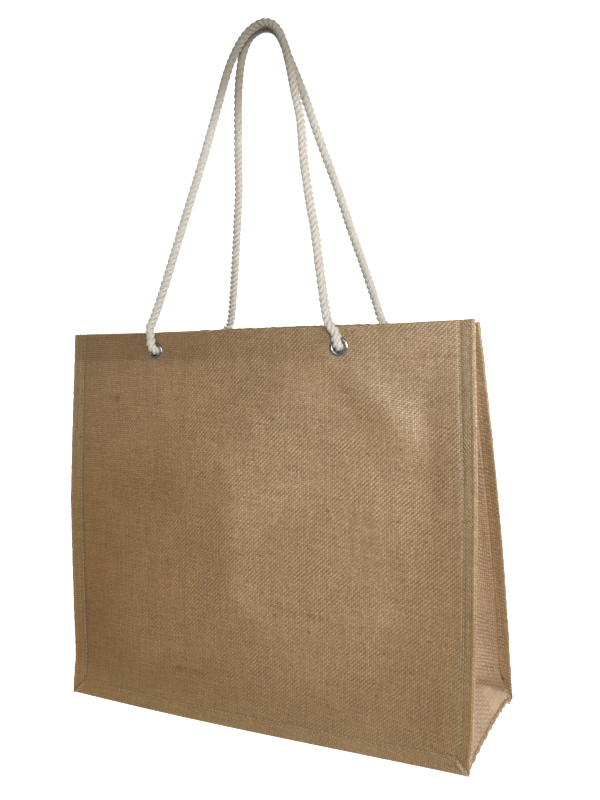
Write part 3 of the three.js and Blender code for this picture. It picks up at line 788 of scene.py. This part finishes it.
COLUMNS = spaced(
    [-HALF, -HALF + 0.9, -HALF + 11, -HALF + 16, HALF - 16, HALF - 11, HALF - 0.9, HALF],
    [0.3, 1.1, 0.8, 2.7, 0.8, 1.1, 0.3],
)
ROWS = spaced(
    [0, 0.9, 11, 16, HEM_LINE - 2, HEM_LINE + 2, HEIGHT - 1.5, HEIGHT],
    [0.3, 1.1, 0.8, 2.8, 0.8, 2.6, 0.4],
)
# Heights and widths of the small relief on a panel
PUFF, BEAD, BEAD_IN, BEAD_WIDE = 0.6, 0.9, 1.9, 1.3
GROOVE, GROOVE_WIDE, SWELL, SWELL_WIDE = 0.5, 1.1, 0.5, 3.0
MITRE_FOLD, MITRE_DIP, HEM_STEP, HEM_DIP = 1.9, 0.9, 0.4, 0.18
RING_DIP, RING_SWELL, EDGE_WAVE = 0.3, 0.25, 2.6


def rounded(inward, half):
    """Half thickness near a folded edge."""
    k = np.clip(inward / half, 0, 1)
    return half * np.sqrt(np.maximum(1 - (1 - k) ** 2, 0.02))


def unevenness(a, t, seed):
    rows = ((0.45, 34, 30), (0.22, 13, 15), (0.07, 5, 5))
    return sum(rise * noise(a / wide, t / tall, seed + i) for i, (rise, wide, tall) in enumerate(rows))


def stitch_right(t):
    return STITCH_RIGHT + STITCH_WIDENS * smooth((t - 150) / 200)


def inward_of(a, t):
    """How far in a place lies from the side edge, from the sewn edges and from the stitches."""
    from_side = HALF - np.abs(a)
    seam = np.minimum(from_side, t)
    stitches_in = np.where(t < 20, STITCH_BASE, np.where(a > 0, stitch_right(t), STITCH_LEFT))
    return from_side, seam, seam - stitches_in


def mitre_at(x, t):
    """The mitre across a flange's bottom corner: its reach, and how far off its line a place lies."""
    return smooth((MITRE_REACH - np.hypot(x, t)) / 5), (x - t) / DIAGONAL


def weave_count(a, t):
    """Yarns counted across and up a panel, whose cloth lies a little askew."""
    x, y = a / 200, (t - HEIGHT / 2) / 200
    across = a / WARP_PITCH * (1 + 0.028 * x * x + 0.026 * y) - 2.8 * y + 0.8 * y * y
    up = t / WEFT_PITCH + 9.2 * x + 5.8 * x * x + 3.9 * x * y - y * y
    # the pinched strip beyond the stitches is cut the other way
    pinched = inward_of(a, t)[2] < -0.5
    return np.stack([np.where(pinched, -1.04 * across, across), up], -1)


def panel_surfaces(side, a, t):
    """Middle points of a panel, and how far its outer and inner faces lie from them."""
    from_side, seam, line_in = inward_of(a, t)
    mid = wall(side, a, t)
    mid[..., 2] += 0.5 * noise(a / EDGE_WAVE, side, 21) * smooth((t - HEIGHT + 2) / 2)
    mid[..., 0] += 0.4 * noise(t / EDGE_WAVE, side, 22) * smooth((2 - from_side) / 2)
    shape = unevenness(a, t, 11 if side == FRONT else 31) * smooth((seam - 4) / 26)
    # the flange is a little puffed, and its stitching pulls a groove
    rise = PUFF * np.sin(np.pi * np.clip(seam / 11, 0, 1)) ** 0.5
    rise += BEAD * bell(from_side - BEAD_IN, BEAD_WIDE) * smooth((t - 6) / 10)
    for end in (-1, 1):
        reach, off = mitre_at(HALF - end * a, t)
        rise += reach * (MITRE_FOLD * bell(off - 1.5, 1.3) - MITRE_DIP * bell(off + 1.2, 1.0))
    rise = rise - GROOVE * bell(line_in, GROOVE_WIDE) + SWELL * bell(line_in - 4, SWELL_WIDE)
    step = HEM_STEP * smooth((t - HEM_LINE + 1.2) / 2.4) - HEM_DIP * bell(t - HEM_LINE + 2, 1.2)
    rise += step * smooth((seam - 12) / 3)
    for end in (-1, 1):
        r = np.hypot(a - end * EYELET_SPREAD, t - EYELET_UP)
        rise = rise - RING_DIP * bell(r - 9, 4.0) + RING_SWELL * bell(r - 17, 5.0)
        shape *= smooth((r - 8) / 16)
    inward = np.minimum(seam, HEIGHT - t)
    half = rounded(inward, CLOTH / 2)
    outer = half + np.where(inward > 0.5, rise, 0) - 0.05 + shape
    hemmed = smooth((t - HEM_LINE) / 1.2) * smooth((from_side - FLANGE - 1) / 1.2)
    inner = half + HEM_PLY * hemmed * smooth((HEIGHT - t) / 1.2) - shape * (1 - hemmed) * 0.9
    return mid, outer, inner


def panel_light(a, t):
    """Soft light and shade that the front panel's folds would leave, painted into its tone."""
    light = np.ones_like(a)
    for x, z, angle, long, wide, gain in FRONT_PAINTED_PATCHES:
        along, off = turned(a - x, t - z, math.radians(angle))
        light *= 1 + gain * np.exp(-((along / long) ** 4) - (off / wide) ** 2)
    for x, z, angle, long, soft, reach, gain in FRONT_PAINTED_EDGES:
        along, off = turned(a - x, t - z, math.radians(angle))
        fade = np.exp(-((along / long) ** 4) - (off / reach) ** 2)
        light *= 1 + gain * np.tanh(off / soft) * fade
    return light


def panel_tone(side, a, t):
    """Tone with painted light and shade over a panel: red, green, blue and the weave's contrast."""
    from_side, _, line_in = inward_of(a, t)
    # painted shade over the hem, most at the left
    shaded = 0.19 * smooth((t - HEM_LINE) / 3) * smooth((150 - a) / 200)
    light = panel_light(a, t) if side == FRONT else 1.0
    tone = (1 + 0.02 * noise(a / 60, t / 50, 3 + side)) * (1 - shaded) * light
    # painted shade in the groove at the stitches, and painted highlights along the folded side edges and the
    # top edge
    tone *= 1 - 0.07 * bell(line_in, 0.9) - 0.05 * bell(line_in - 2.5, 2.5)
    tone *= 1 + 0.14 * bell(from_side - 0.9, 1.2) + 0.18 * smooth((t - HEIGHT + 1.6) / 1.2)
    # painted highlight and painted shade on the two faces of the fold across each bottom corner of the flange
    reach, off = mitre_at(from_side, t)
    mitre = 0.3 * bell(off - 1.8, 1.0) - 0.25 * bell(off + 0.6, 1.6)
    tone *= 1 + reach * np.where(a > 0, 1.0, 0.3) * mitre
    # painted sheen: the cloth is paler up and to the right, where a broad highlight lies, and what is lighter
    # is also less yellow
    painted_sheen = 0.8 + 0.3 * smooth((t - 60) / 280) + 0.2 * smooth((a + 90) / 130)
    painted_sheen = painted_sheen - 0.13 * smooth((-130 - a) / 60) * smooth((300 - t) / 80) - 0.03 * smooth((50 - t) / 30)
    painted_sheen += 0.08 * smooth((t - 270) / 70) * smooth((a - 50) / 90)
    if side == FRONT:
        painted_sheen += 0.12 * bell(a - 95, 90) * bell(t - 110, 110)
    painted_sheen = painted_sheen * light**0.9 - 0.5 * shaded
    flange = smooth(-line_in / 1.5)
    olive = flange * np.where(a > 0, 1.2, 2.0) + 1.3 * smooth((150 - t) / 120) * (1 - flange)
    tint = [1 - 0.025 * olive, (0.7 + 0.3 * painted_sheen) * (1 + 0.02 * olive), painted_sheen * (1 + 0.04 * olive)]
    # how strongly the painted glints, the painted shade between the yarns and the weave's bumps show
    contrast = lerp(0.6, 1.25, smooth((a + 150) / 170)) * lerp(0.65, 1.0, smooth((t - 40) / 150))
    return np.stack([band * tone for band in tint] + [contrast], -1)


def cut_holes(faces, a, t):
    """Drops the faces over the eyelets' barrels; the eyelets cover the edge of the cut."""
    a, t = np.tile(a.ravel(), 2), np.tile(t.ravel(), 2)
    off = [math.hypot(abs(a[face].mean()) - EYELET_SPREAD, t[face].mean() - EYELET_UP) for face in faces]
    return [face for face, r in zip(faces, off) if r > HOLE_CUT - 0.4]


def stitch_parts(line, outs):
    """Short raised stitches along a line of points, lying on the cloth whose outward way is outs."""
    at = measure(line)
    around, radius = 7, STITCH_RADIUS
    for k in range(int(at[-1] // STITCH_PITCH)):
        s0 = (k + 0.5) * STITCH_PITCH + 0.25 * math.sin(k * 2.3)
        half = STITCH_LONG / 2 * (1 + 0.1 * math.sin(k * 1.7))
        rows = []
        for w in (-1, -0.8, -0.35, 0.35, 0.8, 1):
            s = s0 + w * half
            o = unit(pick_along(outs, at, s))
            c = pick_along(line, at, s) + o * (radius * (0.55 - 0.9 * abs(w) ** 3))
            rows.append((c, o, radius * (1 if abs(w) < 0.5 else 0.85 if abs(w) < 0.9 else 0.35)))
        ahead = unit(rows[-1][0] - rows[0][0])
        points = []
        for c, o, r in rows:
            side_way = np.cross(ahead, o)
            for q in range(around):
                angle = 2 * math.pi * q / around
                points.append(c + side_way * math.cos(angle) * r * 1.15 + o * math.sin(angle) * r)
        faces = grid_faces(len(rows), around, wrap=True).tolist()
        faces += [list(range(around))[::-1], list(range((len(rows) - 1) * around, len(points)))]
        yield np.array(points), faces


def seam_runs(side):
    """Lines along a panel's seams, and the ways out: down the left, along the base, up the right."""
    step, top = 3.0, HEIGHT - 2
    left = [(-HALF + STITCH_LEFT, t) for t in np.arange(top, STITCH_BASE, -step)]
    base = [(a, STITCH_BASE) for a in np.arange(-HALF + STITCH_LEFT, HALF - STITCH_RIGHT, step)]
    right = [(HALF - stitch_right(t), t) for t in np.arange(STITCH_BASE, top, step)]
    for run in (left, base, right):
        a, t = np.array(run).T
        out = wall_out(side, a, t)
        yield wall(side, a, t) + out * (CLOTH / 2 - 0.25), out


for word, side in SIDES:
    t, a = np.meshgrid(ROWS, COLUMNS, indexing="ij")
    mid, outer, inner = panel_surfaces(side, a, t)
    uv = np.stack([a * (1 if side == FRONT else -1), t], -1)
    # grid normals point to -Y, which is out of the bag on the front only
    above, below = (outer, inner) if side == FRONT else (inner, outer)
    points, faces, flat_uv = sheet_parts(mid, above, below, uv)
    faces = cut_holes(faces, a, t)
    tone, weave = both_faces(panel_tone(side, a, t)), both_faces(weave_count(a, t))
    panel = new_object(f"{word}_panel_cloth", points, faces, flat_uv, tone, weave=weave)
    parts = [part for line, outs in seam_runs(side) for part in stitch_parts(line, outs)]
    stitches = new_object(f"stitches_{word}", *join_parts(parts))
    dress(panel, look_jute, f"{word}_panel")
    dress(stitches, look_thread)


# Gusset strip

SHARES = np.linspace(-1, 1, 57)
EDGE_SHARES, TAIL_SHARES = (0, 0.02, 0.06, 0.3, 0.65, 1), (0, 0.35, 0.7, 0.94, 0.98, 1)
# Where the crease over the light facet at each bottom corner runs, from front to back and up
FACET_Y = [-73.5, -60, -30, 0, 27, 41, 50, 57, 63, 69, 74]
FACET_Z = [4, 10, 26, 31, 28, 23.5, 18, 14, 9.5, 6.5, 5]


def gusset_section(front, back, crease, pull, sag):
    """Points across the strip from the front seam's edge to the back seam's edge."""
    near = front[1] + (0, SEAM_TURN, 0)
    far = back[1] - (0, SEAM_TURN, 0)
    half = (far[1] - near[1]) / 2
    share = np.clip(crease / half, CREASE_LEAST, CREASE_MOST)
    s = np.abs(SHARES)
    fold = 1 - np.clip((s - share) / (1 - share), 0, 1)
    round_top = np.where(s <= share, 1 - FOLD_CROWN * (s / share) ** 2, fold * (1 - FOLD_CROWN))
    body = near + (far - near) * ((SHARES + 1) / 2)[:, None]
    body = body + pull * round_top[:, None] + sag * (1 - s * s)[:, None]
    edge = [lerp(front[0], front[1], k) for k in EDGE_SHARES]
    tail = [lerp(back[1], back[0], k) for k in TAIL_SHARES]
    turn_in = [front[1] + (0, SEAM_TURN * 0.45, 0)]
    turn_out = [back[1] - (0, SEAM_TURN * 0.45, 0)]
    return np.concatenate([edge, turn_in, body, turn_out, tail])


def pinch(distance):
    return lerp(CORNER_PINCH, FLANGE, smooth(distance / CORNER_RUN))


def seam_lines(across_edge, across_seam, up_edge, up_seam):
    edges = [seam_point(side, across_edge, up_edge) for side in (FRONT, BACK)]
    seams = [seam_point(side, across_seam, up_seam) for side in (FRONT, BACK)]
    return zip(edges, seams)


def side_section(end, up):
    inset = pinch(up)
    front, back = seam_lines(end * HALF, end * (HALF - inset), up, up)
    half = (back[1][1] - front[1][1]) / 2 - SEAM_TURN
    fold = math.sqrt(max(0, HALF_STRIP**2 - half**2))
    at_tip = math.sqrt(HALF_STRIP**2 - TIP_HEIGHT**2)
    k = min(up / TIP_HEIGHT, 1)
    pulled = at_tip * k + CORNER_PULL * (1 - k) ** 2 if k < 1 else fold
    crease = lerp(HALF_STRIP, FOLD_ROUND, k)
    reach = max(pulled - (inset - CORNER_PINCH) * (1 - k), 1)
    return gusset_section(front, back, crease, np.array([-end * reach, 0, 0]), np.zeros(3))


def corner_section(end):
    front, back = seam_lines(end * (HALF - TIP_TRIM), end * (HALF - CORNER_PINCH), TIP_TRIM, CORNER_PINCH)
    sag = np.array([-end * CORNER_PULL, 0, CORNER_LIFT])
    return gusset_section(front, back, HALF_STRIP, np.zeros(3), sag)


def floor_section(across):
    distance = HALF - abs(across)
    front, back = seam_lines(across, across, 0, pinch(distance))
    rise = lerp(CORNER_LIFT, -FLOOR_SAG, smooth(distance / CORNER_RUN))
    return gusset_section(front, back, HALF_STRIP, np.zeros(3), np.array([0, 0, rise]))


def gusset_grid():
    """Sections from the left side's top, round the base, to the right side's, and where they are."""
    side_up = spaced(
        [2.5, 8, 30, TIP_HEIGHT - 6, TIP_HEIGHT + 6, HEIGHT - 1.5, HEIGHT],
        [1.2, 2.2, 3.0, 2.0, 3.6, 0.5],
    )
    floor_at = spaced(
        [-HALF + 2.5, -HALF + 10, -HALF + 40, HALF - 40, HALF - 10, HALF - 2.5],
        [1.5, 2.6, 4.2, 2.6, 1.5],
    )
    stations = [(-HALF - up, side_section(-1, up)) for up in side_up[::-1]]
    stations += [(-HALF, corner_section(-1))]
    stations += [(across, floor_section(across)) for across in floor_at]
    stations += [(HALF, corner_section(1))]
    stations += [(HALF + up, side_section(1, up)) for up in side_up]
    along, sections = zip(*stations)
    return np.array(sections), np.array(along)[:, None]


def work_base_fold(grid, end_of, from_fold):
    """Makes the fold between side and base lumpy and drooping, and low at the right back corner."""
    y = grid[..., 1]
    free = 1 - np.concatenate([np.ones(7), SHARES**8, np.ones(7)])
    lump = np.sin(y / 2.05 + 1.4 * noise(y / 17, end_of, 6)) * 0.5 + 0.5
    lump = lump * (0.8 + 0.5 * noise(y / 9, end_of, 7)) * bell(from_fold, 2.2) * free
    droop = bell(from_fold, 1.6) * free
    low_corner = (end_of > 0) * bell(y - 69, 7) * bell(from_fold, 5.0)
    grid[..., 0] += end_of * (1.3 * lump - 0.9 * droop) + 1.5 * low_corner
    grid[..., 2] -= 1.4 * lump + 2.0 * droop + 5.0 * low_corner


class GussetPlaces:
    """Where each point of the strip's grid lies, all in millimetres or as a share from 0 to 1."""

    def __init__(self, grid, along):
        self.up = np.abs(along) - HALF
        self.y, self.z = grid[..., 1], grid[..., 2]
        step = np.linalg.norm(np.diff(grid, axis=1), axis=2)
        width = np.concatenate([np.zeros((len(grid), 1)), np.cumsum(step, axis=1)], axis=1)
        self.edge_in = np.minimum(width, width[:, -1:] - width)
        self.across = width - width[:, -1:] / 2
        self.at_back = smooth(self.across / 10)
        self.toward_back = smooth((self.y - 22) / 28)
        self.between_seams = np.zeros(grid.shape[1])
        self.between_seams[9:-9] = 1
        # each bottom corner has a light facet, under a soft crease that runs forward and up from the back
        crease = np.interp(self.y, FACET_Y, FACET_Z)
        self.over_crease = np.where(np.abs(grid[..., 0]) > HALF / 2, self.z - crease, 99.0)
        self.on_side = (self.up > -1) * self.between_seams
        self.facet = smooth((-self.over_crease + 0.5) / 3.0) * self.on_side
        self.plain = self.facet * smooth((self.y - 25) / 3)


def gusset_surfaces(grid, uv, at):
    """How far the strip's two faces lie from its middle."""
    half = rounded(np.minimum(at.edge_in, HEIGHT - at.up), CLOTH / 2)
    half = half + 0.7 * bell(at.edge_in - 1.4, 1.2) * smooth((at.up - 4) / 10)
    calm = smooth((at.edge_in - 17) / 14) * smooth((np.abs(at.up) - 2) / 16)
    shape = 0.8 * unevenness(uv[..., 0] * 1.2, uv[..., 1], 51) * calm
    seam_fill = 3.0 * bell(at.edge_in - 14.5, 6.5) * smooth((at.up - 12) / 20)
    ridge = (0.5 + 0.8 * at.toward_back) * bell(at.over_crease, 2.6) * at.on_side
    hemmed = smooth((at.up - HEM_LINE) / 1.5) * smooth((HEIGHT - at.up) / 1.2)
    outer = half + (shape + seam_fill + ridge)
    inner = half + (-shape + SIDE_HEM_PLY * hemmed * at.between_seams)
    # under the base the way out of the bag is down
    normal = grid_normals(grid)[grid.shape[0] // 2, grid.shape[1] // 2]
    return (outer, inner) if normal[2] < 0 else (inner, outer)


def gusset_tone(uv, at):
    """Tone with painted light and shade over the strip: red, green, blue and the weave's contrast."""
    beside = 1 - at.facet
    # painted highlight along the fold at the base
    tone = (1 + 0.03 * noise(uv[..., 0] / 50, uv[..., 1] / 50, 8)) * (1 + 0.25 * bell(at.up, 1.6))
    shadow = 0.2 * at.toward_back * bell(at.over_crease - 4, 4.5) * at.on_side
    # painted highlight on the facet and the sides, painted shade across the strip toward its back and in the
    # valley by the back seam, a painted highlight along the front edge, and painted light on the upper part
    tone = tone * (1 + 0.08 * at.facet - shadow) * (1 + 0.03 * at.on_side * beside)
    tone *= 1 - 0.17 * smooth((at.across - 5) / 60) * beside
    tone *= 1 - 0.05 * at.at_back * smooth((18 - at.edge_in) / 7) * beside
    tone *= 1 - 0.1 * at.at_back * bell(at.edge_in - 19, 4)
    tone *= 1 + 0.22 * smooth((2.6 - at.edge_in) / 1.5) * (1 - at.at_back)
    tone *= 1 + 0.25 * smooth((at.up - 200) / 170)
    # the facet's back part is smooth and lit with painted light behind a fine ridge with a painted highlight,
    # and the strip along the back a little greener
    pleat_highlight = at.facet * bell(at.y - 26, 1.8) * smooth((26 - at.z) / 6)
    tone *= 1 + 0.05 * at.plain + 0.08 * pleat_highlight
    # painted shade deep toward the back seam, and painted sheen, paler and less yellow, on the upper part and
    # the facet
    deep_shade = at.at_back * smooth((36 - at.edge_in) / 10) * smooth((190 - at.up) / 120) * beside
    green = at.at_back * smooth((15 - at.edge_in) / 5) * beside
    upper_sheen = smooth((at.up - 180) / 150)
    tone *= 1 + 0.12 * upper_sheen
    tint = [
        1 + 0.04 * green - 0.09 * deep_shade,
        (1 + 0.06 * green) * (1 + 0.12 * upper_sheen + 0.09 * at.facet - 0.13 * deep_shade),
        1 + 0.4 * upper_sheen + 0.24 * at.facet - 0.22 * deep_shade,
    ]
    return np.stack([band * tone for band in tint] + [1.15 - 0.4 * at.facet - 0.68 * at.plain], -1)


grid, along = gusset_grid()
work_base_fold(grid, np.sign(along), np.abs(along) - HALF)
at = GussetPlaces(grid, along)
uv = np.stack(np.broadcast_arrays(at.across, along), -1)
points, faces, flat_uv = sheet_parts(grid, *gusset_surfaces(grid, uv, at), uv)
weave = np.stack([uv[..., 0] / WARP_PITCH, uv[..., 1] / WEFT_PITCH + 0.03 * uv[..., 0]], -1)
tone = both_faces(gusset_tone(uv, at))
gusset = new_object("gusset_cloth", points, faces, flat_uv, tone, weave=both_faces(weave))
dress(gusset, look_gusset, "gusset")


# Studio


ROOM_RADIUS, ROOM_BEND, ROOM_HEIGHT, ROOM_SIDES, FLOOR_BELOW = 3.4, 0.8, 3.2, 96, 0.16
GREY, WHITE, PALE = (0.2, 0.2, 0.2, 1), (0.9, 0.9, 0.89, 1), (0.86, 0.86, 0.85, 1)


def backdrop_paint():
    """White that glows behind the bag, and grey in front, where it would light the panel too much."""
    n = Nodes("backdrop_paint")
    x, y = n.split(n.spots())
    behind = n.ramp(y, -0.35, 0.1) * n.ramp(x, 1.8, 3.0, 1.0, 0.0)
    n.surface({
        "Base Color": n.mix(behind, GREY, n.mix(n.noise(n.spots(), 3.0), PALE, WHITE)),
        "Roughness": 0.9,
        "Emission Color": (0.97, 0.985, 1.0, 1),
        "Emission Strength": n.ramp(behind, 0.0, 1.0, 0.08, 0.95),
    })
    return n.material


def studio():
    """A round room whose floor bends up into its wall."""
    low = float(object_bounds()[0].z) - FLOOR_BELOW
    flat = ROOM_RADIUS - ROOM_BEND
    section = [(0.001, low), (1.0, low), (flat, low)]
    for angle in np.linspace(0, math.pi / 2, 13)[1:]:
        section.append((flat + ROOM_BEND * math.sin(angle), low + ROOM_BEND - ROOM_BEND * math.cos(angle)))
    section.append((ROOM_RADIUS, low + ROOM_HEIGHT))
    round_room = np.arange(ROOM_SIDES) * 2 * math.pi / ROOM_SIDES
    points = [(r * math.cos(q), r * math.sin(q), z) for r, z in section for q in round_room]
    faces = grid_faces(len(section), ROOM_SIDES, wrap=True).tolist()
    room = add_mesh("backdrop", points, faces)
    room.data.materials.append(backdrop_paint())


# Name, place in metres, size and power of each soft lamp, and what they all point at
LAMPS = [
    ("high", (0.1, -0.75, 0.15), 0.3, 0.6),
    ("front", (0.9, -1.5, 0.3), 0.6, 20.0),
    ("front_right", (1.15, -0.55, -0.1), 0.7, 4.9),
    ("right", (1.3, 0.2, -0.3), 0.8, 1.8),
]
LAMPS_AIM = Vector((0.0, 0.0, -0.42))
SKY, SKY_STRENGTH = (1.0, 0.95, 0.88, 1), 0.1


def light_up():
    for name, where, size, power in LAMPS:
        data = bpy.data.lights.new(name, "AREA")
        data.shape = "DISK"
        data.size = size
        data.energy = power
        light = bpy.data.objects.new(name, data)
        light.location = where
        light.rotation_mode = "QUATERNION"
        light.rotation_quaternion = (LAMPS_AIM - Vector(where)).to_track_quat("-Z", "Y")
        bpy.context.scene.collection.objects.link(light)
    world = bpy.data.worlds.new("world")
    bpy.context.scene.world = world
    world.use_nodes = True
    back = world.node_tree.nodes["Background"]
    back.inputs["Color"].default_value = SKY
    back.inputs["Strength"].default_value = SKY_STRENGTH


studio()
light_up()
bpy.context.scene.view_settings.view_transform = "Standard"
